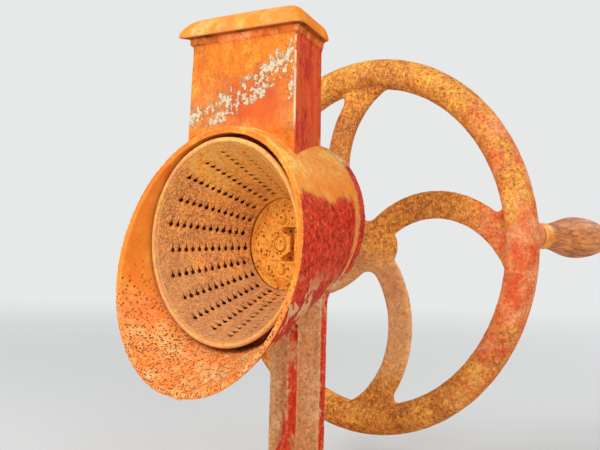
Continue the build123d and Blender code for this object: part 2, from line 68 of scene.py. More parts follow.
# The grater cone, with the same sizes as its CAD solid
LIP_Y = -95.0 * MM
CONE_END_Y = -27.5 * MM
LIP_RADIUS = 75.0 * MM
CONE_END_RADIUS = 34.3 * MM
SHEET = 1.0 * MM
EDGE = 1.92 * MM
TOOTH_ROWS = 21
TEETH = 12
FIRST_ROW = math.radians(-2.7)
FIRST_TOOTH = 12.5 * MM
LAST_TOOTH = 5.0 * MM
EDGE_Y = LIP_Y + EDGE
EDGE_RING = LIP_RADIUS - EDGE
RUN = CONE_END_Y - EDGE_Y
RISE = EDGE_RING - CONE_END_RADIUS
CONE_LEAN = math.atan2(RISE, RUN) - math.asin(EDGE / math.hypot(RUN, RISE))
SLANT = (CONE_END_Y - LIP_Y) / math.cos(CONE_LEAN)
TOOTH_PITCH = (SLANT - FIRST_TOOTH - LAST_TOOTH) / (TEETH - 0.5)
SECTOR = 2 * math.pi / TOOTH_ROWS
SECTOR_STEPS = 12
PITCH_STEPS = 4
TAIL_SHARE = 0.66
# A tooth's hole, in millimetres: half its head across and round, and how far its tail runs
HEAD_ACROSS = 1.36
HEAD_ROUND = 1.60
TAIL_REACH = 5.1

# Places where the finishes of the housing, the stand and the wheel change, in metres
HOUSING_AXIS_Z = 0.195
HOPPER_FOOT = 0.262
STEP_FOOT = 0.3308
RIM_FOOT = 0.3368
PLATE_FACE = -0.0135
MOUTH_FLOOR = 0.120
MOUTH_SIDE = 0.165
SHEET_MOUTH = -0.090
STAIN = (0.012, 0.286)
SPOKES_END = 0.118


# ---- camera, light and floor
def placed(name, data):
    made = bpy.data.objects.new(name, data)
    bpy.context.scene.collection.objects.link(made)
    return made


def make_camera():
    right = Vector((math.cos(AZIMUTH), math.sin(AZIMUTH), 0))
    level = math.cos(ELEVATION)
    back = Vector((math.sin(AZIMUTH) * level, -math.cos(AZIMUTH) * level, math.sin(ELEVATION)))
    up = back.cross(right)
    side = math.cos(ROLL) * right + math.sin(ROLL) * up
    top = math.cos(ROLL) * up - math.sin(ROLL) * right
    metres_per_pixel = DISTANCE / FOCAL_PIXELS
    across = (AIM_PIXEL[0] - IMAGE_WIDTH / 2) * metres_per_pixel
    down = (AIM_PIXEL[1] - IMAGE_HEIGHT / 2) * metres_per_pixel
    place = MOUTH - across * side + down * top + DISTANCE * back
    data = bpy.data.cameras.new("camera")
    data.sensor_fit = "HORIZONTAL"
    data.sensor_width = SENSOR
    data.lens = FOCAL_PIXELS / IMAGE_WIDTH * SENSOR
    data.clip_start = 0.01
    camera = placed("camera", data)
    camera.matrix_world = Matrix.Translation(place) @ Matrix((side, top, back)).transposed().to_4x4()
    bpy.context.scene.camera = camera


def area_light(name, place, aim, size, power):
    data = bpy.data.lights.new(name, "AREA")
    data.shape = "DISK"
    data.size = size
    data.energy = power
    light = placed(name, data)
    light.location = place
    light.rotation_mode = "QUATERNION"
    light.rotation_quaternion = (Vector(aim) - Vector(place)).to_track_quat("-Z", "Y")


def colour(red, green, blue):
    return (red, green, blue, 1.0)


PALE = colour(0.80, 0.81, 0.81)
FLOOR_TONE = colour(0.66, 0.67, 0.67)
WORLD_LIGHT = 0.55


def make_world():
    world = bpy.data.worlds.new("studio")
    bpy.context.scene.world = world
    world.use_nodes = True
    tree = world.node_tree
    background = tree.nodes["Background"]
    background.inputs["Color"].default_value = colour(1, 1, 1)
    background.inputs["Strength"].default_value = WORLD_LIGHT
    seen = tree.nodes.new("ShaderNodeBackground")
    seen.inputs["Color"].default_value = PALE
    path = tree.nodes.new("ShaderNodeLightPath")
    glossy = tree.nodes.new("ShaderNodeMath")
    glossy.operation = "MAXIMUM"
    tree.links.new(path.outputs["Is Camera Ray"], glossy.inputs[0])
    tree.links.new(path.outputs["Is Glossy Ray"], glossy.inputs[1])
    mix = tree.nodes.new("ShaderNodeMixShader")
    tree.links.new(glossy.outputs[0], mix.inputs["Fac"])
    tree.links.new(background.outputs[0], mix.inputs[1])
    tree.links.new(seen.outputs[0], mix.inputs[2])
    tree.links.new(mix.outputs[0], tree.nodes["World Output"].inputs["Surface"])


# ---- shader building
class Finish:
    """A material whose nodes are added one call at a time. A value is a number or a socket."""

    def __init__(self, name):
        self.material = bpy.data.materials.new(name)
        self.material.use_nodes = True
        self.tree = self.material.node_tree
        self.surface = self.tree.nodes["Principled BSDF"]
        coordinates = self.tree.nodes.new("ShaderNodeTexCoord")
        self.place = coordinates.outputs["Object"]
        self.x, self.y, self.z = self.split(self.place)
        self.facing_x, self.facing_y, self.facing_z = self.split(coordinates.outputs["Normal"])

    def put(self, value, socket):
        if isinstance(value, bpy.types.NodeSocket):
            self.tree.links.new(value, socket)
        else:
            socket.default_value = value

    def node(self, kind, inputs, **settings):
        made = self.tree.nodes.new("ShaderNode" + kind)
        for name, value in settings.items():
            setattr(made, name, value)
        for key, value in inputs.items():
            self.put(value, made.inputs[key])
        return made

    def split(self, vector):
        return self.node("SeparateXYZ", {0: vector}).outputs

    def calc(self, operation, *values):
        return self.node("Math", dict(enumerate(values)), operation=operation).outputs[0]

    def noise(self, scale, detail=6.0, roughness=0.6, at=None, distortion=0.0):
        inputs = {"Vector": at or self.place, "Scale": scale, "Detail": detail}
        inputs.update({"Roughness": roughness, "Distortion": distortion})
        return self.node("TexNoise", inputs).outputs["Fac"]

    def shifted(self, x=0.0, y=0.0, z=0.0, stretch=(1.0, 1.0, 1.0)):
        inputs = {"Vector": self.place, "Location": (x, y, z), "Scale": stretch}
        return self.node("Mapping", inputs).outputs[0]

    def rise(self, value, low, high):
        """0 below low, 1 above high, smooth in between. With low above high it falls instead."""
        inputs = {"Value": value, "From Min": low, "From Max": high}
        return self.node("MapRange", inputs, interpolation_type="SMOOTHSTEP").outputs[0]

    def band(self, value, low, high, edge):
        """1 between low and high, 0 outside."""
        return self.calc("MULTIPLY", self.rise(value, low - edge, low), self.rise(value, high + edge, high))

    def times(self, *values):
        product = values[0]
        for value in values[1:]:
            product = self.calc("MULTIPLY", product, value)
        return product

    def plus(self, *values):
        total = values[0]
        for value in values[1:]:
            total = self.calc("ADD", total, value)
        return total

    def minus(self, value, other):
        return self.calc("SUBTRACT", value, other)

    def larger(self, value, other):
        return self.calc("MAXIMUM", value, other)

    def length(self, across, up):
        return self.calc("SQRT", self.plus(self.times(across, across), self.times(up, up)))

    def tones(self, value, stops):
        made = self.node("ValToRGB", {0: value})
        elements = made.color_ramp.elements
        while len(elements) < len(stops):
            elements.new(0.5)
        for element, (place, tone) in zip(elements, stops):
            element.position = place
            element.color = tone
        return made.outputs[0]

    def mix(self, share, low, high, blend="MIX"):
        inputs = {0: share, 6: low, 7: high}
        return self.node("Mix", inputs, data_type="RGBA", blend_type=blend).outputs[2]

    def finish(self, tone, roughness, height, depth, metallic=0.0, specular=0.12):
        """Joins colour, roughness and height (0 to 1, over depth in metres) to the surface."""
        bump = self.node("Bump", {"Height": height, "Distance": depth, "Strength": 1.0})
        self.put(tone, self.surface.inputs["Base Color"])
        self.put(roughness, self.surface.inputs["Roughness"])
        self.put(bump.outputs[0], self.surface.inputs["Normal"])
        self.surface.inputs["Metallic"].default_value = metallic
        self.surface.inputs["Specular IOR Level"].default_value = specular
        return self.material


# ---- colours
DUSTY = colour(0.87, 0.41, 0.13)
DARK_PIT = colour(0.16, 0.040, 0.014)
PIT = colour(0.06, 0.016, 0.008)
DARK_RUST = colour(0.30, 0.070, 0.016)
BROWN = colour(0.50, 0.165, 0.050)
RUST = colour(0.66, 0.17, 0.028)
ORANGE = colour(0.84, 0.26, 0.030)
BRIGHT_ORANGE = colour(0.93, 0.36, 0.055)
AMBER = colour(0.92, 0.44, 0.070)
YELLOW = colour(0.94, 0.55, 0.13)
TAN = colour(0.70, 0.34, 0.13)
GREY_TAN = colour(0.48, 0.26, 0.13)
PINK = colour(0.86, 0.34, 0.16)
CREAM = colour(0.86, 0.60, 0.33)
CHALK = colour(0.72, 0.62, 0.44)
SLATE = colour(0.46, 0.36, 0.25)
GOLD_DUST_AND_HIGHLIGHT = colour(0.95, 0.68, 0.22)
RUBBED_BARE = colour(0.90, 0.72, 0.50)
DEEP_RED = colour(0.36, 0.012, 0.004)
RED = colour(0.60, 0.030, 0.010)
LIVE_RED = colour(0.70, 0.070, 0.022)
PALE_RED = colour(0.80, 0.16, 0.065)


def rust(s, stops, broad=28.0, middle=120.0, grain=480.0, shares=(0.40, 0.30, 0.30)):
    """Rusted iron: clouds, mottling and fine grain added up, then coloured. Gives tone and height."""
    clouds = s.noise(broad, 4.0, 0.55)
    mottle = s.noise(middle, 5.0, 0.62, at=s.shifted(0.11, 0.23, 0.37))
    fine = s.noise(grain, 4.0, 0.7)
    value = s.plus(s.times(clouds, shares[0]), s.times(mottle, shares[1]), s.times(fine, shares[2]))
    return s.tones(value, stops), s.plus(s.times(mottle, 0.45), s.times(fine, 0.40))


def grit(s, tone, dark=0.55, light=1.30, size=430.0):
    """Fine light and dark grains over a tone."""
    fine = s.noise(size, 3.0, 0.62, at=s.shifted(0.31, 0.17, 0.53))
    inputs = {"Value": fine, "From Min": 0.36, "From Max": 0.64, "To Min": dark, "To Max": light}
    share = s.node("MapRange", inputs, clamp=True).outputs[0]
    return s.mix(1.0, tone, share, blend="MULTIPLY")


def pitted(s, tone, height, share, size=380.0, radius=0.24, inside=DARK_RUST, seed=0.0):
    """Scattered round pits, in more of the noise cells where share (0 to 1) is high."""
    cell = s.node("TexVoronoi", {"Vector": s.shifted(seed, seed, 0.0), "Scale": size})
    chance = s.split(cell.outputs["Color"])[0]
    picked = s.rise(s.minus(share, chance), 0.0, 0.04)
    ragged = s.times(s.minus(s.noise(900.0, 2.0), 0.5), 0.3)
    uneven = s.plus(cell.outputs["Distance"], ragged)
    pits = s.times(picked, s.rise(uneven, radius + 0.06, radius - 0.06))
    return s.mix(s.times(pits, 0.9), tone, inside), s.minus(height, s.times(pits, 0.5))


def speckled(s, tone, height, share, size, dark=DARK_RUST, crowd=0.50, low=0.55, high=0.60):
    """Small dark rust pits, in crowds, where share is high."""
    spots = s.rise(s.noise(size, 1.5, 0.5, at=s.shifted(0.7, 0.3, 0.9)), low, high)
    crowds = s.rise(s.noise(size * 0.13, 3.0, 0.6, at=s.shifted(0.2, 0.8, 0.4)), crowd - 0.08, crowd + 0.06)
    pits = s.times(spots, crowds, share)
    return s.mix(pits, tone, dark), s.minus(height, s.times(pits, 0.45))


def corner_wear_and_light(s, tone, low=0.520, high=0.580, share=0.75, edge=CREAM, hollow_dirt_and_shade=DARK_RUST):
    """Paler on convex corners, from wear and painted highlight; darker in concave corners, from grime and painted
    shade.
    """
    point = s.node("NewGeometry", {}).outputs["Pointiness"]
    ragged = s.plus(point, s.times(s.minus(s.noise(260.0, 3.0, 0.6), 0.5), 0.06))
    tone = s.mix(s.times(s.rise(ragged, low, high), share), tone, edge)
    return s.mix(s.times(s.rise(ragged, 1.0 - low, 1.0 - high), 0.75), tone, hollow_dirt_and_shade)


def shaded(s, tone, reach, dirt_and_shade=DARK_RUST, share=0.85, low=0.62, high=0.15):
    """Painted shade, with some grime, where other surfaces are near."""
    near = s.node("AmbientOcclusion", {"Distance": reach}, samples=6).outputs["AO"]
    return s.mix(s.times(s.rise(near, low, high), share), tone, dirt_and_shade)


def flakes(s, tone, height, paint, cover, size=55.0, crisp=0.02, seed=0.0, rim_tone=DARK_RUST):
    """Old paint over tone where cover (0 to 1) is high enough to beat a ragged noise."""
    ragged = s.noise(size, 8.0, 0.68, at=s.shifted(seed, seed * 0.7, seed * 1.3))
    margin = s.minus(s.plus(ragged, cover), 1.0)
    share = s.rise(margin, -crisp, crisp)
    rim = s.band(margin, -3.0 * crisp, -crisp, crisp)
    tone = s.mix(s.times(rim, 0.45), tone, rim_tone)
    tone = s.mix(share, tone, paint)
    return tone, s.plus(height, s.times(share, 0.30)), share


def red_paint(s, along=(1.0, 1.0, 1.0), size=80.0, rubbed=0.6):
    """Old red paint, streaked and rubbed pale in specks."""
    streaks = s.noise(size, 6.0, 0.65, at=s.shifted(0.4, 0.1, 0.6, stretch=along))
    red = s.tones(streaks, [(0.36, DEEP_RED), (0.50, RED), (0.66, LIVE_RED)])
    specks = s.rise(s.noise(520.0, 3.0, 0.6, at=s.shifted(0.5, 0.2, 0.3)), 0.54, 0.62)
    return s.mix(s.times(specks, rubbed), red, PALE_RED)


def housing_finish():
    s = Finish("housing_finish")
    tone, height = rust(
        s,
        [(0.36, BROWN), (0.44, RUST), (0.50, ORANGE), (0.56, BRIGHT_ORANGE), (0.64, AMBER)]
    )
    tone = grit(s, tone, 0.78, 1.16)
    from_axis = s.minus(s.z, HOUSING_AXIS_Z)
    outwardness = s.plus(s.times(s.facing_x, s.x), s.times(s.facing_z, from_axis))
    in_barrel = s.rise(s.z, HOPPER_FOOT + 0.006, HOPPER_FOOT)
    inner = s.times(s.rise(outwardness, 0.004, -0.004), in_barrel)
    outer = s.minus(1.0, inner)
    past_front = s.rise(s.facing_y, -0.66, -0.50)
    to_right = s.times(s.rise(s.facing_x, 0.25, 0.45), past_front, outer)
    to_left = s.times(s.rise(s.facing_x, -0.25, -0.45), past_front, outer)
    to_side = s.larger(to_right, to_left)
    to_front = s.times(s.rise(s.facing_y, -0.55, -0.85), outer)
    on_hopper = s.rise(s.z, HOPPER_FOOT, HOPPER_FOOT + 0.012)
    on_rim = s.times(s.rise(s.z, RIM_FOOT, RIM_FOOT + 0.001), s.rise(s.y, PLATE_FACE, PLATE_FACE - 0.001))
    flat = s.rise(s.facing_z, 0.40, 0.22)
    leaning = s.plus(s.calc("ABSOLUTE", s.facing_x), s.times(s.facing_y, 0.5))
    rim_side = s.rise(leaning, 0.05, 0.20)
    on_step = s.times(
        s.rise(s.z, STEP_FOOT, STEP_FOOT + 0.001), s.rise(s.z, RIM_FOOT + 0.001, RIM_FOOT + 0.0002)
    )

    # the hopper's front: mottled orange above, tan and flaked below, a brown-red stain at its foot
    front = s.times(to_front, on_hopper)
    lower = s.times(front, s.rise(s.plus(s.z, s.times(s.noise(30.0, 3.0, 0.6), 0.03)), 0.325, 0.298))
    tan_tone = s.tones(s.noise(150.0, 6.0, 0.65), [(0.38, BROWN), (0.50, TAN), (0.62, BRIGHT_ORANGE)])
    tone = s.mix(s.times(lower, 0.75), tone, tan_tone)
    mottled = s.rise(s.noise(230.0, 3.0, 0.6, at=s.shifted(0.4, 0.8, 0.7)), 0.56, 0.64)
    tone = s.mix(s.times(front, mottled, 0.5), tone, BROWN)
    stain_z = s.times(s.minus(s.z, STAIN[1]), 42.0)
    stain_x = s.times(s.minus(s.x, STAIN[0]), 26.0)
    stain_away = s.length(stain_z, stain_x)
    stain = s.times(front, s.rise(s.plus(stain_away, s.noise(70.0, 4.0, 0.6)), 1.55, 0.95))
    tone = s.mix(s.times(stain, 0.9), tone, colour(0.66, 0.10, 0.03))

    # smooth dust with painted highlight on the rim and on top of the barrel, orange where the top turns down to
    # the sides
    blotch = s.noise(55.0, 4.0, 0.6, at=s.shifted(0.6, 0.6, 0.2))
    shoulder = s.times(outer, in_barrel, past_front, s.rise(s.facing_z, -0.10, 0.25), s.rise(s.z, 0.19, 0.22))
    shoulder_tone = s.tones(s.noise(90.0, 5.0, 0.65), [(0.38, ORANGE), (0.50, BRIGHT_ORANGE), (0.62, YELLOW)])
    tone = s.mix(s.times(shoulder, 0.8), tone, shoulder_tone)
    front_rim = s.tones(blotch, [(0.38, BRIGHT_ORANGE), (0.52, colour(0.90, 0.43, 0.10)), (0.70, CREAM)])
    side_rim = s.tones(
        blotch, [(0.38, ORANGE), (0.52, colour(0.88, 0.33, 0.020)), (0.68, colour(0.94, 0.42, 0.035))]
    )
    rim_tone = s.mix(rim_side, front_rim, side_rim)
    tone = s.mix(s.times(on_rim, 0.97), tone, rim_tone)
    # painted highlight, with dust, on the barrel's upward faces
    top_dust_and_highlight = s.times(s.rise(s.facing_z, 0.25, 0.75), outer, s.rise(s.z, 0.20, 0.23))
    top_dust_and_highlight = s.times(top_dust_and_highlight, s.rise(s.z, 0.30, 0.28))
    dust_and_highlight_tone = s.tones(s.noise(260.0, 4.0, 0.6), [(0.38, AMBER), (0.50, YELLOW), (0.62, GOLD_DUST_AND_HIGHLIGHT)])
    tone = s.mix(s.times(top_dust_and_highlight, s.rise(blotch, 0.30, 0.42), 0.9), tone, dust_and_highlight_tone)
    step_tone = s.tones(s.noise(120.0, 4.0, 0.6), [(0.38, DARK_RUST), (0.50, RUST), (0.64, PINK)])
    tone = s.mix(s.times(on_step, 0.92), tone, step_tone)
    # painted shade: a dark band under the rim's overhang
    shade_under_rim = s.times(s.band(s.z, RIM_FOOT, RIM_FOOT + 0.0009, 0.0004), flat)
    tone = s.mix(s.times(shade_under_rim, 0.85), tone, PIT)
    height = s.times(height, s.minus(1.0, s.times(on_rim, 0.88)))

    # inside the mouth: bright orange high on the walls, pale and crowded with dark pits low down
    low_inside = s.times(inner, s.rise(s.z, MOUTH_SIDE, MOUTH_FLOOR))
    high_inside = s.times(inner, s.rise(s.z, MOUTH_FLOOR, MOUTH_SIDE))
    tone = s.mix(s.times(high_inside, 0.75), tone, s.tones(blotch, [(0.38, ORANGE), (0.60, BRIGHT_ORANGE)]))
    low_tone = s.tones(
        s.noise(120.0, 5.0, 0.6), [(0.36, colour(0.84, 0.30, 0.075)), (0.52, DUSTY), (0.74, CREAM)]
    )
    tone = s.mix(s.times(low_inside, 0.92), tone, low_tone)
    crowding = s.times(inner, s.rise(s.plus(s.z, s.times(s.noise(35.0, 3.0), 0.04)), 0.20, 0.125))
    many, some = s.times(crowding, 0.72), s.times(crowding, 0.55)
    tone, height = pitted(s, tone, height, many, size=420.0, radius=0.34, inside=DARK_PIT)
    tone, height = pitted(s, tone, height, some, size=600.0, radius=0.38, seed=0.7)
    # painted shade on the inner walls behind the grater sheet
    shade_behind_sheet = s.times(inner, s.rise(s.y, SHEET_MOUTH, SHEET_MOUTH + 0.008))
    tone = s.mix(s.times(shade_behind_sheet, 0.92), tone, PIT)
    spotted = s.times(outer, 0.55)
    tone, height = speckled(s, tone, height, spotted, size=380.0, dark=BROWN, low=0.60, high=0.66)

    # red paint on the sides
    side_hopper = s.times(to_side, flat, s.rise(s.z, 0.235, 0.245), s.rise(s.z, 0.3325, 0.3315))
    near_plate = s.rise(s.y, -0.024, -0.017)
    side_barrel = s.times(
        to_side, s.rise(s.z, 0.240, 0.208), s.minus(1.0, s.times(near_plate, 0.45)), outer
    )
    hopper_red = grit(s, red_paint(s, (1.0, 1.0, 0.25), rubbed=0.25), 0.7, 1.2)
    cover = s.times(side_hopper, 0.93)
    tone, height, painted = flakes(s, tone, height, hopper_red, cover, size=60.0, crisp=0.03, seed=1.7)
    barrel_red = grit(s, red_paint(s, size=190.0), 0.65, 1.3, size=300.0)
    # painted highlight: orange to yellow on the back of the barrel by the plate
    highlight_by_plate = s.times(near_plate, outer, in_barrel, s.rise(s.z, 0.15, 0.19))
    highlight_by_plate_tone = s.tones(s.noise(140.0, 5.0, 0.65), [(0.36, ORANGE), (0.50, AMBER), (0.62, YELLOW)])
    tone = s.mix(s.times(highlight_by_plate, 0.7), tone, highlight_by_plate_tone)
    cover, rim_red = s.times(side_barrel, 0.70), colour(0.86, 0.16, 0.020)
    tone, height, painted_too = flakes(
        s, tone, height, barrel_red, cover, size=45.0, crisp=0.15, seed=2.3, rim_tone=rim_red
    )
    # pale streaks where the lower right of the barrel was rubbed
    slope = s.node("VectorRotate", {"Vector": s.place, "Angle": 0.6}, rotation_type="X_AXIS").outputs[0]
    slanted = s.node("Mapping", {"Vector": slope, "Scale": (1.0, 0.16, 1.0)}).outputs[0]
    rubbed = s.rise(s.noise(70.0, 4.0, 0.55, at=slanted), 0.53, 0.565)
    low_right = s.times(to_side, s.rise(s.z, 0.172, 0.145), s.minus(1.0, on_hopper))
    tone = s.mix(s.times(rubbed, low_right, 0.85), tone, s.mix(s.noise(300.0), TAN, CREAM))

    # chalky flakes on the hopper's front, thickest in a slanting drift near its foot
    drift = s.minus(s.z, s.times(s.x, 0.45))
    drifted = s.times(front, s.band(drift, 0.286, 0.296, 0.026))
    near_edge = s.times(front, s.rise(s.x, 0.034, 0.050), s.band(s.z, 0.290, 0.312, 0.012))
    clump = s.times(s.rise(s.noise(48.0, 3.0, 0.6, at=s.shifted(0.9, 0.2, 0.5)), 0.40, 0.60), 0.10)
    thickest = s.larger(s.times(drifted, 0.455), s.times(near_edge, 0.47))
    cover = s.plus(thickest, s.times(front, clump))
    chalk_tone = s.tones(s.noise(420.0, 4.0, 0.6), [(0.40, SLATE), (0.50, CHALK), (0.62, CREAM)])
    tone, height, _ = flakes(s, tone, height, chalk_tone, cover, size=260.0, crisp=0.014, seed=4.1)

    # the hopper's front right edge is rubbed nearly white
    ragged = s.rise(s.noise(110.0, 5.0, 0.65, at=s.shifted(0.2, 0.4, 0.9)), 0.40, 0.50)
    corner = s.times(s.rise(s.facing_x, 0.22, 0.40), s.rise(s.facing_y, 0.05, -0.25))
    corner = s.times(corner, s.rise(s.facing_y, -0.97, -0.90), on_hopper, flat, ragged)
    corner = s.times(corner, s.rise(s.z, 0.334, 0.330))
    tone = s.mix(s.times(corner, 0.85), tone, RUBBED_BARE)
    # pale edges: wear with painted highlight; dark concave corners: grime with painted shade
    tone = corner_wear_and_light(s, tone, share=s.times(s.minus(1.0, on_step), 0.7), edge=colour(0.88, 0.44, 0.18))
    # painted shade where other surfaces are near
    tone = shaded(s, tone, 0.010)
    rough = s.minus(0.80, s.times(s.larger(painted, painted_too), 0.22))
    return s.finish(tone, rough, height, 0.0006, specular=0.04)


def stand_finish():
    s = Finish("stand_finish")
    tone, height = rust(
        s,
        [(0.38, GREY_TAN), (0.45, TAN), (0.52, colour(0.74, 0.40, 0.17)), (0.60, CREAM), (0.68, PINK)],
        broad=40.0,
    )
    tone = grit(s, tone, 0.78, 1.22)
    tone, height = pitted(s, tone, height, 0.14, size=330.0, radius=0.22)
    sides = s.rise(s.calc("ABSOLUTE", s.facing_x), 0.5, 0.8)
    on_rib = s.rise(s.calc("ABSOLUTE", s.x), 0.0048, 0.0036)
    rib = s.times(on_rib, s.rise(s.y, PLATE_FACE, PLATE_FACE - 0.0015))
    paint = red_paint(s, (1.0, 1.0, 0.3))
    pinkish = s.tones(s.noise(260.0, 5.0, 0.65), [(0.38, RUST), (0.47, PINK), (0.58, CREAM)])
    tone = s.mix(s.times(rib, 0.8), tone, pinkish)
    cover = s.larger(s.times(sides, 0.56), s.times(rib, 0.46))
    tone, height, painted = flakes(s, tone, height, paint, cover, size=55.0, crisp=0.05, seed=2.9)
    # pale edges: wear with painted highlight; dark concave corners: grime with painted shade
    tone = corner_wear_and_light(s, tone, share=0.9)
    # painted shade where other surfaces are near
    tone = shaded(s, tone, 0.008)
    return s.finish(tone, s.minus(0.82, s.times(painted, 0.22)), height, 0.0007)


def wheel_finish():
    s = Finish("wheel_finish")
    low, mid, high = colour(0.52, 0.15, 0.030), colour(0.68, 0.26, 0.060), colour(0.86, 0.36, 0.055)
    tone, height = rust(
        s,
        [(0.37, DARK_RUST), (0.43, low), (0.49, mid), (0.54, high), (0.61, colour(0.92, 0.52, 0.11))],
        broad=34.0, middle=230.0, grain=520.0, shares=(0.30, 0.38, 0.32),
    )
    tone = grit(s, tone, 0.66, 1.24)
    tone, height = pitted(s, tone, height, 0.26, size=400.0, radius=0.26)
    # high on the spokes the rust is dark, with painted shade, and below the shaft they are dusted pink
    from_axis = s.minus(s.z, SHAFT_Z)
    away = s.length(s.x, from_axis)
    inwards = s.rise(away, SPOKES_END, SPOKES_END - 0.018)
    tone = s.mix(s.times(inwards, s.rise(from_axis, 0.045, 0.060), 0.45), tone, BROWN)
    dusted = s.rise(s.noise(60.0, 4.0, 0.6, at=s.shifted(0.8, 0.3, 0.6)), 0.42, 0.58)
    dust = s.times(dusted, 0.5)
    tone, height = pitted(s, tone, height, dust, size=520.0, radius=0.26, inside=CREAM, seed=0.4)
    pink_dust = s.tones(
        s.noise(240.0, 4.0, 0.6), [(0.38, PINK), (0.52, CREAM), (0.64, colour(0.88, 0.50, 0.26))]
    )
    tone = s.mix(s.times(inwards, s.rise(from_axis, 0.0, -0.02), 0.45), tone, pink_dust)
    # the ring's right side, by the grip, is blotched red and pink
    patchy = s.noise(32.0, 4.0, 0.6, at=s.shifted(0.5, 0.9, 0.1))
    right = s.rise(s.plus(s.x, s.times(patchy, 0.08)), 0.115, 0.190)
    right = s.times(right, s.rise(s.z, 0.325, 0.290), s.rise(patchy, 0.36, 0.50))
    red = s.tones(
        s.noise(70.0, 5.0, 0.6),
        [(0.38, colour(0.70, 0.080, 0.030)), (0.50, colour(0.80, 0.20, 0.080)), (0.64, PINK)],
    )
    tone = s.mix(s.times(right, 0.85), tone, grit(s, red, 0.75, 1.2))
    # pale edges: wear with painted highlight; dark concave corners: grime with painted shade
    tone = corner_wear_and_light(s, tone, low=0.54, high=0.60, share=0.5, edge=AMBER)
    # painted shade where other surfaces are near
    tone = shaded(s, tone, 0.008)
    return s.finish(tone, 0.80, height, 0.0007, specular=0.06)


def sheet_finish():
    s = Finish("sheet_finish")
    tone, height = rust(
        s,
        [(0.38, DARK_RUST), (0.44, BROWN), (0.49, TAN), (0.55, BRIGHT_ORANGE), (0.63, YELLOW)],
        broad=45.0, middle=420.0, grain=1000.0, shares=(0.22, 0.38, 0.40),
    )
    tone = grit(s, tone, 0.66, 1.24, size=620.0)
    # golden where rust dust lies, grey-brown low on one side
    from_axis = s.minus(s.z, SHAFT_Z)
    patch = s.times(s.minus(s.noise(26.0, 3.0, 0.6, at=s.shifted(0.3, 0.9, 0.1)), 0.5), 0.10)
    golden = s.rise(s.plus(s.times(from_axis, 0.8), s.times(s.x, 0.55), patch), 0.004, 0.030)
    gold = s.tones(s.noise(420.0, 5.0, 0.65), [(0.38, ORANGE), (0.47, AMBER), (0.56, YELLOW), (0.66, CREAM)])
    tone = s.mix(s.times(golden, 0.85), tone, gold)
    dull = s.rise(s.plus(s.times(from_axis, 0.9), s.times(s.x, 0.45), patch), -0.020, -0.042)
    dull_tone = s.tones(s.noise(420.0, 5.0, 0.6), [(0.38, BROWN), (0.50, GREY_TAN), (0.64, TAN)])
    tone = s.mix(s.times(dull, 0.6), tone, dull_tone)
    spotted = s.minus(0.62, s.times(golden, 0.35))
    tone, height = speckled(s, tone, height, spotted, size=1150.0, crowd=0.47, high=0.62)
    # painted highlight: pink to yellow along the rolled lip
    edge = s.rise(s.y, LIP_Y + 0.004, LIP_Y + 0.0015)
    tone = s.mix(s.times(edge, 0.6), tone, s.tones(s.noise(200.0), [(0.4, PINK), (0.6, YELLOW)]))
    # painted shade round the holes and where other surfaces are near
    tone = shaded(s, tone, 0.0022, dirt_and_shade=PIT, share=0.95, low=0.80, high=0.42)
    return s.finish(tone, 0.78, height, 0.0004, specular=0.06)


def disc_finish():
    s = Finish("disc_finish")
    tone, height = rust(
        s,
        [(0.37, RUST), (0.44, ORANGE), (0.50, BRIGHT_ORANGE), (0.60, AMBER)],
        broad=70.0, middle=260.0, grain=700.0,
    )
    tone = grit(s, tone, 0.74, 1.22, size=520.0)
    tone, height = pitted(s, tone, height, 0.42, size=320.0, radius=0.30, inside=DARK_PIT)
    # pale edges: wear with painted highlight; dark concave corners: grime with painted shade
    tone = corner_wear_and_light(s, tone, low=0.53, high=0.60, share=0.75, edge=YELLOW)
    # painted shade where other surfaces are near
    tone = shaded(s, tone, 0.0035, dirt_and_shade=PIT)
    return s.finish(tone, 0.80, height, 0.0009, specular=0.06)


def bolts_finish():
    s = Finish("bolts_finish")
    tone, height = rust(
        s,
        [(0.38, PIT), (0.44, DARK_RUST), (0.51, BROWN), (0.58, RUST), (0.68, TAN)],
        broad=90.0, middle=300.0, grain=900.0,
    )
    # pale edges: wear with painted highlight; dark concave corners: grime with painted shade
    tone = corner_wear_and_light(s, tone, low=0.54, high=0.62, share=0.6, edge=TAN)
    return s.finish(tone, 0.68, height, 0.0004, metallic=0.25)


def bronze_finish():
    s = Finish("bronze_finish")
    dull = colour(0.35, 0.20, 0.07)
    tone = s.tones(s.noise(300.0, 6.0, 0.6), [(0.3, dull), (0.6, TAN), (0.8, ORANGE)])
    return s.finish(tone, 0.45, s.noise(500.0), 0.0001, metallic=0.8)


def ferrule_finish():
    s = Finish("ferrule_finish")
    tone, height = rust(
        s,
        [(0.38, BROWN), (0.45, ORANGE), (0.52, BRIGHT_ORANGE), (0.62, YELLOW)],
        broad=120.0, middle=400.0, grain=1100.0,
    )
    return s.finish(tone, s.plus(0.35, s.times(height, 0.3)), height, 0.0003, metallic=0.35)


def wood_finish():
    s = Finish("wood_finish")
    dark = colour(0.30, 0.085, 0.026)
    mid = colour(0.60, 0.19, 0.050)
    light = colour(0.82, 0.29, 0.075)
    along = s.shifted(stretch=(1.0, 0.07, 1.0))
    grain = s.noise(420.0, 8.0, 0.65, at=along, distortion=0.6)
    tone = s.tones(grain, [(0.36, dark), (0.48, mid), (0.60, light)])
    grime = s.rise(s.noise(70.0, 6.0, 0.6), 0.48, 0.66)
    tone = s.mix(s.times(grime, 0.5), tone, dark)
    return s.finish(tone, 0.52, grain, 0.0003, specular=0.2)


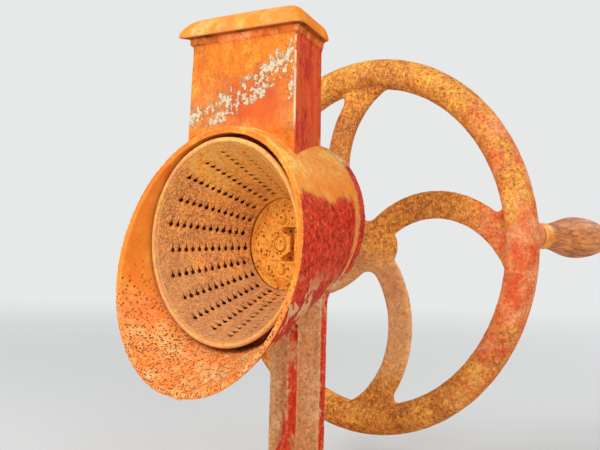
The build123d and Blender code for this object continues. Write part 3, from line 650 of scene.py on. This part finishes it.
def floor_finish():
    """Pale and matt. Far behind the object it is seen at the backdrop's own tone, so no horizon shows."""
    s = Finish("floor_finish")
    s.surface.inputs["Base Color"].default_value = FLOOR_TONE
    s.surface.inputs["Roughness"].default_value = 0.9
    backdrop = s.node("Emission", {"Color": PALE, "Strength": 1.0})
    away = s.length(s.x, s.y)
    path = s.node("LightPath", {})
    seen = s.larger(path.outputs["Is Camera Ray"], path.outputs["Is Glossy Ray"])
    share = s.times(s.rise(away, 0.5, 2.6), seen)
    blend = s.node("MixShader", {0: share, 1: s.surface.outputs[0], 2: backdrop.outputs[0]})
    s.put(blend.outputs[0], s.tree.nodes["Material Output"].inputs["Surface"])
    return s.material


def make_floor():
    reach = 12.0
    corners = [(-reach, -reach, 0), (reach, -reach, 0), (reach, reach, 0), (-reach, reach, 0)]
    mesh = mesh_of("floor", corners, [(0, 1, 2, 3)])
    floor = placed("floor", mesh)
    mesh.materials.append(floor_finish())


# ---- building pieces
def add_piece(name, mesh, node, look, smooth=True):
    """A mesh that stands for a CAD node, on the node's body."""
    piece = placed(name, mesh)
    mesh.materials.clear()
    mesh.materials.append(MATERIAL_OF[look])
    if smooth:
        mesh.shade_smooth()
    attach(piece, BODY_OF[node])
    return piece


def welded(node):
    """A copy of a CAD node's mesh with its split corners joined."""
    form = bmesh.new()
    form.from_mesh(frame["nodes"][node].data)
    bmesh.ops.remove_doubles(form, verts=form.verts, dist=0.002 * MM)
    mesh = bpy.data.meshes.new(node + "_form")
    form.to_mesh(mesh)
    form.free()
    return mesh


def settled(worker):
    """The mesh that an object has with its modifiers on. The object itself goes."""
    mesh = bpy.data.meshes.new_from_object(worker.evaluated_get(bpy.context.evaluated_depsgraph_get()))
    bpy.data.objects.remove(worker)
    return mesh


def cast(node, name, look, cell, wear, lumps, lump_size, more=None):
    """A CAD node's form with edges rounded by wear and an uneven skin, lower than the CAD face by up to lumps."""
    form = welded(node)
    if more:
        joined = bmesh.new()
        joined.from_mesh(form)
        joined.from_mesh(more)
        joined.to_mesh(form)
        joined.free()
    worker = placed(node + "_worker", form)
    skin = worker.modifiers.new("skin", "REMESH")
    skin.mode = "VOXEL"
    skin.voxel_size = cell
    edges = worker.modifiers.new("edges", "SMOOTH")
    edges.factor = 0.5
    edges.iterations = wear
    clouds = bpy.data.textures.new(node + "_lumps", "CLOUDS")
    clouds.noise_scale = lump_size
    clouds.noise_depth = 3
    uneven = worker.modifiers.new("uneven", "DISPLACE")
    uneven.texture = clouds
    uneven.strength = lumps
    uneven.mid_level = 1.0
    piece = add_piece(name, settled(worker), node, look)
    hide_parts(node)


def mesh_of(name, places, faces):
    mesh = bpy.data.meshes.new(name)
    mesh.from_pydata(places, [], faces)
    mesh.update()
    return mesh


def turned_outward(mesh):
    """The same mesh with every face turned to the outside."""
    form = bmesh.new()
    form.from_mesh(mesh)
    bmesh.ops.recalc_face_normals(form, faces=form.faces)
    form.to_mesh(mesh)
    form.free()
    return mesh


def turned(name, rows, radius_at, x=0.0, z=0.0, around=64):
    """A closed form about an axis along Y: rows of Y places, radius_at(y, angle) for each point."""
    places, faces = [], []
    for y in rows:
        for step in range(around):
            angle = 2 * math.pi * step / around
            radius = radius_at(y, angle)
            places.append((x + radius * math.cos(angle), y, z + radius * math.sin(angle)))
    for row in range(len(rows) - 1):
        for step in range(around):
            after = (step + 1) % around
            a, b = row * around + step, row * around + after
            faces.append((a, a + around, b + around, b))
    last = (len(rows) - 1) * around
    faces.append(tuple(range(around)))
    faces.append(tuple(last + step for step in reversed(range(around))))
    return mesh_of(name, places, faces)


def wave(y, angle, pitch):
    """A screw thread's profile, 0 at the crest and 1 at the root."""
    turn = (y / pitch + angle / (2 * math.pi)) % 1.0
    return 1 - abs(2 * turn - 1)


def spread(low, high, step):
    count = max(1, round((high - low) / step))
    return [low + (high - low) * index / count for index in range(count + 1)]


# ---- grater cone
def cone_point(along, angle, height):
    """A point over the cone's inner face: slant distance from the lip, angle, height outward."""
    radius = CONE_END_RADIUS + (SLANT - along) * math.sin(CONE_LEAN) + height * math.cos(CONE_LEAN)
    y = LIP_Y + along * math.cos(CONE_LEAN) + height * math.sin(CONE_LEAN)
    place = Vector((radius * math.cos(angle), y, radius * math.sin(angle)))
    dent = 0.14 * MM * noise.noise(place * 45.0)
    place.x += dent * math.cos(angle)
    place.z += SHAFT_Z + dent * math.sin(angle)
    return place


def tooth_outline():
    """A tooth's hole: from its tail's tip up one side, round its head and down the other side."""
    right = [(0.0, -TAIL_REACH)]
    for round_, half_across in ((-4.3, 0.20), (-3.5, 0.27), (-2.8, 0.33), (-2.2, 0.38), (-1.80, 0.45)):
        right.append((half_across, round_))
    for step in range(10):
        turn = math.radians(-72 + 162 * (step + 0.5) / 10)
        right.append((HEAD_ACROSS * math.cos(turn), HEAD_ROUND * math.sin(turn)))
    right.append((0.0, HEAD_ROUND))
    left = [(-across, round_) for across, round_ in reversed(right[1:-1])]
    return [(across * MM, round_ * MM) for across, round_ in right + left]


def outline_normals(outline):
    normals = []
    for index in range(len(outline)):
        before, after = outline[index - 1], outline[(index + 1) % len(outline)]
        run = Vector((after[0] - before[0], after[1] - before[1])).normalized()
        normals.append((run.y, -run.x))
    return normals


# A tooth's burr: how far from the hole's edge, how high, and what share of the sheet's thickness is left
BURR = [(0.0, 0.85, 0.35), (0.28, 0.55, 0.60), (0.62, 0.25, 0.85), (1.05, 0.05, 1.0)]


def grater_mesh():
    places, faces = [], []
    known = {}

    def grid_vertex(column, row, side):
        """A shared vertex: column counts quarter pitches along, row counts sector steps round."""
        row %= TOOTH_ROWS * SECTOR_STEPS
        key = (column, row, side)
        if key not in known:
            along = first_along + column * TOOTH_PITCH / PITCH_STEPS
            angle = FIRST_ROW + SECTOR * (row / SECTOR_STEPS - TAIL_SHARE)
            known[key] = len(places)
            places.append(cone_point(along, angle, side * SHEET))
        return known[key]

    def quad(a, b, c, d, side):
        faces.append((a, b, c, d) if side else (d, c, b, a))

    first_along = FIRST_TOOTH - TOOTH_PITCH / 2
    first_column = -math.floor((first_along - 1.0 * MM) / (TOOTH_PITCH / PITCH_STEPS))
    last_column = math.floor((SLANT - first_along) / (TOOTH_PITCH / PITCH_STEPS))
    outline = tooth_outline()
    normals = outline_normals(outline)
    points = len(outline)
    for sector in range(TOOTH_ROWS):
        start_row = sector * SECTOR_STEPS
        shift = PITCH_STEPS // 2 * (sector % 2)
        toothed = range(shift, shift + TEETH * PITCH_STEPS)
        for column in range(first_column, last_column):
            if column in toothed:
                continue
            for row in range(start_row, start_row + SECTOR_STEPS):
                for side in (0, 1):
                    a = grid_vertex(column, row, side)
                    b = grid_vertex(column + 1, row, side)
                    c = grid_vertex(column + 1, row + 1, side)
                    d = grid_vertex(column, row + 1, side)
                    quad(a, d, c, b, side)
        for tooth in range(TEETH):
            left = shift + tooth * PITCH_STEPS
            middle = PITCH_STEPS // 2
            edge = [(left + step, start_row) for step in range(middle, PITCH_STEPS + 1)]
            edge += [(left + PITCH_STEPS, start_row + step) for step in range(1, SECTOR_STEPS + 1)]
            edge += [(left + step, start_row + SECTOR_STEPS) for step in range(PITCH_STEPS - 1, -1, -1)]
            edge += [(left, start_row + step) for step in range(SECTOR_STEPS - 1, -1, -1)]
            edge += [(left + step, start_row) for step in range(1, middle)]
            centre = first_along + (left + middle) * TOOTH_PITCH / PITCH_STEPS
            centre_angle = FIRST_ROW + SECTOR * sector
            radius = CONE_END_RADIUS + (SLANT - centre) * math.sin(CONE_LEAN)
            # every tooth was punched a little differently
            bite = 1 + 0.25 * noise.noise(Vector((sector * 3.1, tooth * 2.7, 0.5)))
            rims = []
            for side in (0, 1):
                rings = []
                for out, rise, thick in BURR:
                    ring = []
                    for (across, round_), (normal_x, normal_y) in zip(outline, normals):
                        tail = min(1.0, max(0.0, -round_ / (TAIL_REACH * MM)))
                        rise_here = rise * MM * (1 - 0.92 * min(1.0, 1.7 * tail)) * bite
                        spot = cone_point(
                            centre + across * bite + normal_x * out * MM,
                            centre_angle + (round_ + normal_y * out * MM) / radius,
                            rise_here + side * SHEET * thick,
                        )
                        ring.append(len(places))
                        places.append(spot)
                    rings.append(ring)
                rings.append([grid_vertex(column, row, side) for column, row in edge])
                for inner, outer in zip(rings, rings[1:]):
                    for index in range(points):
                        after = (index + 1) % points
                        quad(inner[index], inner[after], outer[after], outer[index], side)
                rims.append(rings[0])
            for index in range(points):
                after = (index + 1) % points
                faces.append((rims[0][index], rims[0][after], rims[1][after], rims[1][index]))
    for row in range(TOOTH_ROWS * SECTOR_STEPS):
        for column, turn in ((first_column, False), (last_column, True)):
            a, b = grid_vertex(column, row, 0), grid_vertex(column, row + 1, 0)
            c, d = grid_vertex(column, row + 1, 1), grid_vertex(column, row, 1)
            faces.append((d, c, b, a) if turn else (a, b, c, d))
    return turned_outward(mesh_of("grater_sheet", places, faces))


def rolled_rim_mesh():
    """The sheet's edge rolled over its wire, with the groove where the roll ends."""
    around = 252
    section = []
    for step in range(26):
        turn = -CONE_LEAN - math.pi / 2 - 2 * math.pi * step / 26
        radius = EDGE
        if step in (19, 20):
            radius = EDGE - 0.45 * MM
        turn += math.pi / 2
        section.append((EDGE_Y + radius * math.sin(turn), EDGE_RING + radius * math.cos(turn)))
    places, faces = [], []
    for step in range(around):
        angle = 2 * math.pi * step / around
        for y, ring in section:
            place = Vector((ring * math.cos(angle), y, ring * math.sin(angle)))
            dent = 0.10 * MM * (noise.noise(place * 60.0) - 1)
            reach = ring + dent
            places.append((reach * math.cos(angle), y, SHAFT_Z + reach * math.sin(angle)))
    points = len(section)
    for step in range(around):
        for index in range(points):
            a = step * points + index
            b = step * points + (index + 1) % points
            c = (step + 1) % around * points + (index + 1) % points
            d = (step + 1) % around * points + index
            faces.append((a, b, c, d))
    return turned_outward(mesh_of("rolled_rim", places, faces))


# ---- shaft and spindle
def shaft_mesh():
    low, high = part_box("shaft")
    square_from, square_to = -22.0 * MM, -16.3 * MM
    wheel_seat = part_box("rear_bush")[1].y
    pitch = 1.75 * MM
    depth = 0.95 * MM
    end = 1.2 * MM

    def radius_at(y, angle):
        if y < square_from or y > back_thread_start:
            near_end = min(y - low.y, high.y - y)
            crest = 6.0 * MM - max(0.0, end - near_end)
            return crest - depth * wave(y, angle, pitch) * min(1.0, near_end / end)
        if y <= square_to:
            flat = 6.5 * MM / max(abs(math.cos(angle)), abs(math.sin(angle)))
            return min(8.0 * MM, flat)
        return 8.0 * MM if y < wheel_seat else 7.0 * MM

    back_thread_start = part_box("wheel_washer")[0].y
    rows = spread(low.y, square_from - 0.01 * MM, 0.2 * MM)
    rows += [square_from, square_to, square_to + 0.01 * MM, wheel_seat, wheel_seat + 0.01 * MM]
    rows += spread(back_thread_start, high.y, 0.2 * MM)
    return turned("shaft_turned", rows, radius_at, z=SHAFT_Z)


def spindle_mesh():
    low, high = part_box("handle_spindle")
    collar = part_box("handle_grip")[0].y - 0.3 * MM
    root = collar - 3.5 * MM
    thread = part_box("grip_washer")[0].y
    pitch = 1.25 * MM

    def radius_at(y, angle):
        if y < root:
            return 5.0 * MM
        if y <= collar:
            edge = min(y - root, collar - y)
            return 9.5 * MM - max(0.0, 0.5 * MM - edge)
        if y < thread:
            return 4.5 * MM
        near_end = high.y - y
        return (4.0 - max(0.0, 0.8 - near_end / MM)) * MM - 0.6 * MM * wave(y, angle, pitch)

    rows = [low.y, root - 0.01 * MM]
    rows += spread(root, collar, 0.5 * MM) + [collar + 0.01 * MM, thread - 0.01 * MM]
    rows += spread(thread, high.y, 0.2 * MM)
    return turned("spindle_turned", rows, radius_at, GRIP["pos_m"][0], GRIP["pos_m"][2])


def grip_mesh():
    """The turned wooden grip, with two scribed rings behind its ferrule."""
    low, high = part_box("handle_grip")
    ferrule_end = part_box("grip_ferrule")[1].y
    belly = (high.x - low.x) / 2
    widest = 0.57
    rounding = 4.0 * MM

    def radius_at(y, angle):
        if y < ferrule_end:
            return 8.1 * MM
        place = (y - ferrule_end) / (high.y - ferrule_end)
        radius = 9.6 * MM + (belly - 9.7 * MM) * (0.5 - 0.5 * math.cos(math.pi * min(1.0, place / widest)))
        if place > widest:
            fall = (place - widest) / (1 - widest)
            radius = belly - 0.1 * MM - (belly - 11.5 * MM) * fall**2
        round_off = (high.y - y) / rounding
        if round_off < 1:
            radius -= rounding * (1 - math.sqrt(max(0.0, 1 - (1 - round_off) ** 2)))
        for ring in (7.0, 9.5):
            away = abs(y - ferrule_end - ring * MM) / (0.7 * MM)
            radius -= 0.45 * MM * max(0.0, 1 - away)
        whittle = 0.12 * MM * (noise.noise(Vector((math.cos(angle), math.sin(angle), place * 3))) - 1)
        return radius + whittle

    rows = [low.y, ferrule_end - 0.01 * MM] + spread(ferrule_end, high.y - rounding, 0.35 * MM)
    rows += spread(high.y - rounding + 0.3 * MM, high.y, 0.3 * MM)
    return turned("grip_turned", rows, radius_at, GRIP["pos_m"][0], GRIP["pos_m"][2], around=96)


def moulding_mesh():
    """The hopper's rim, in millimetres: an elliptical moulding round the front and sides.

    The left front corner is mitred, and the right one is rounded."""
    front_y = -79.3
    back_y = -13.0
    front_half = 52.8
    back_half = 20.0
    taper = (front_half - back_half) / (back_y - front_y)
    foot = 337.4
    near_round = 11.0
    inset, overhang, depth, rise = -4.5, 6.2, 19.5, 17.3
    section = [(inset, foot), (overhang - 1.0, foot), (overhang - 0.2, foot + 0.5)]
    for step in range(13):
        turn = math.radians(4 + 59.5 * step / 12)
        section.append((overhang - depth * (1 - math.cos(turn)), foot + rise * math.sin(turn)))
    section.append((inset, section[-1][1]))
    places = []
    stations = [(-1, None), (-1, 0.0)] + [(1, step / 6) for step in range(7)] + [(1, None)]
    for hand, turn in stations:
        for out, z in section:
            side = out * math.hypot(1, taper)
            if turn is None:
                places.append((hand * (back_half + side), back_y, z))
                continue
            corner = Vector((hand * (front_half + side + out * taper), front_y - out))
            if hand > 0:
                before = corner + Vector((-near_round, 0))
                after = corner + near_round * Vector((-taper, 1)).normalized()
                corner = (1 - turn) ** 2 * before + 2 * turn * (1 - turn) * corner + turn**2 * after
            places.append((corner.x, corner.y, z))
    count = len(section)
    last = len(stations) - 1
    faces = [tuple(range(count)), tuple(last * count + index for index in reversed(range(count)))]
    for corner in range(last):
        for index in range(count):
            after = (index + 1) % count
            a = corner * count
            faces.append((a + index, a + count + index, a + count + after, a + after))
    return turned_outward(mesh_of("moulding", [(x * MM, y * MM, z * MM) for x, y, z in places], faces))


def rivet_mesh(z, seed):
    """A hammered rivet head on the dished disc, with its shank down to the hub's back."""
    face = -31.0 * MM
    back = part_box("hub_rivets")[1].y
    head_radius, head_height, shank_radius = 4.5 * MM, 2.1 * MM, 2.5 * MM

    def radius_at(y, angle):
        if y > face + 0.3 * MM:
            return shank_radius
        share = min(1.0, max(0.0, (face - y) / head_height))
        uneven = 1 + 0.10 * noise.noise(Vector((math.cos(angle) * 1.3, math.sin(angle) * 1.3, seed)))
        return head_radius * uneven * math.sqrt(max(0.02, 1 - share**2.2))

    rows = spread(face - 2.05 * MM, face + 0.29 * MM, 0.15 * MM) + [face + 0.31 * MM, back]
    return turned("hub_rivet", rows, radius_at, z=z, around=36)


def pocket_fill_mesh():
    """Caked rust that fills the drive hub's square pocket on one side of the nut."""
    steps = 28
    side = 12.7 * MM
    floor_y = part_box("nut_washer")[1].y - 0.1 * MM
    full, film, slope = 9.1 * MM, 0.2 * MM, 8.0 * MM
    places, faces = [], []
    for row in range(steps + 1):
        z = -side + 2 * side * row / steps
        for column in range(steps + 1):
            x = -side + 2 * side * column / steps
            lump = noise.noise(Vector((x, z, 0.004)) * 160.0)
            lump += 0.5 * noise.noise(Vector((x, z, 0.009)) * 420.0)
            fall = min(1.0, max(0.0, (x + 1.0 * MM) / slope))
            fall = fall * fall * (3 - 2 * fall)
            top = full + 0.5 * MM * lump
            places.append((x, floor_y - top * (1 - fall) - film * fall, SHAFT_Z + z))
    count = len(places)
    for place in list(places):
        places.append((place[0], floor_y, place[2]))
    span = steps + 1
    for row in range(steps):
        for column in range(steps):
            a = row * span + column
            faces.append((a, a + 1, a + span + 1, a + span))
            faces.append((count + a + span, count + a + span + 1, count + a + 1, count + a))
    ring = list(range(steps))
    ring += [row * span + steps for row in range(steps)]
    ring += [steps * span + column for column in range(steps, 0, -1)]
    ring += [row * span for row in range(steps, 0, -1)]
    for index, a in enumerate(ring):
        b = ring[(index + 1) % len(ring)]
        faces.append((b, a, count + a, count + b))
    return mesh_of("pocket_rust", places, faces)


# ---- the object
make_camera()
make_world()
make_floor()
# name, place, what it points at, size and power
LAMPS = [
    ("key", (-0.6, -1.9, 1.5), (0, 0, 0.19), 1.2, 31.0),
    ("fill", (2.0, -1.4, 0.9), (0, 0, 0.19), 1.4, 22.5),
    ("back", (0.6, 2.0, 1.6), (0, 0, 0.2), 1.2, 17.0),
]
for lamp in LAMPS:
    area_light(*lamp)

MATERIAL_OF = {
    "housing": housing_finish(),
    "stand": stand_finish(),
    "wheel": wheel_finish(),
    "sheet": sheet_finish(),
    "disc": disc_finish(),
    "bolts": bolts_finish(),
    "bronze": bronze_finish(),
    "ferrule": ferrule_finish(),
    "wood": wood_finish(),
}

# node, piece, look, voxel, rounds of smoothing, then the depth and the size of its lumps, in millimetres
CASTINGS = [
    ("housing", "housing_casting", "housing", 0.95, 8, 0.4, 9.0),
    ("stand", "stand_casting", "stand", 1.1, 4, 0.45, 8.0),
    ("hand_wheel", "hand_wheel_casting", "wheel", 1.25, 6, 0.5, 8.0),
    ("drive_hub", "drive_hub_casting", "disc", 0.7, 2, 0.3, 3.0),
    ("end_disc", "end_disc_pressing", "disc", 0.5, 3, 0.35, 4.0),
    ("cone_nut", "cone_hex_nut", "disc", 0.4, 3, 0.3, 2.5),
    ("nut_washer", "cone_nut_washer", "disc", 0.4, 1, 0.15, 2.5),
    ("wheel_nut", "wheel_hex_nut", "bolts", 0.4, 3, 0.3, 2.5),
    ("wheel_washer", "wheel_nut_washer", "bolts", 0.4, 1, 0.15, 2.5),
    ("housing_screws", "housing_hex_screws", "bolts", 0.4, 2, 0.2, 2.0),
    ("spindle_nut", "spindle_hex_nut", "bolts", 0.35, 2, 0.2, 2.0),
    ("grip_ferrule", "grip_ferrule_band", "ferrule", 0.3, 2, 0.12, 3.0),
]
for node, name, look, cell, wear, lumps, lump_size in CASTINGS:
    moulding = moulding_mesh() if node == "housing" else None
    cast(node, name, look, cell * MM, wear, lumps * MM, lump_size * MM, more=moulding)

grater = add_piece("grater_sheet", grater_mesh(), "grater_cone", "sheet")
rim = add_piece("rolled_rim", rolled_rim_mesh(), "grater_cone", "sheet")
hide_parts("grater_cone")
shaft = add_piece("shaft_turned", shaft_mesh(), "shaft", "disc", smooth=False)
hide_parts("shaft")
spindle = add_piece("spindle_turned", spindle_mesh(), "handle_spindle", "bolts", smooth=False)
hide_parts("handle_spindle")
upper_rivet = add_piece("hub_rivet_upper", rivet_mesh(SHAFT_Z + 18.9 * MM, 0.3), "hub_rivets", "disc")
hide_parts("hub_rivets")
add_piece("hub_rivet_lower", rivet_mesh(SHAFT_Z - 18.9 * MM, 1.7), "hub_rivets", "disc")
grip = add_piece("grip_turned", grip_mesh(), "handle_grip", "wood")
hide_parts("handle_grip")
add_piece("pocket_rust", pocket_fill_mesh(), "drive_hub", "disc")

LOOK_OF = {"cone_bead": "sheet", "front_bush": "bronze", "rear_bush": "bronze"}
for name, node in frame["nodes"].items():
    node.data.materials.clear()
    node.data.materials.append(MATERIAL_OF[LOOK_OF.get(name, "bolts")])

bpy.context.scene.view_settings.view_transform = "Standard"
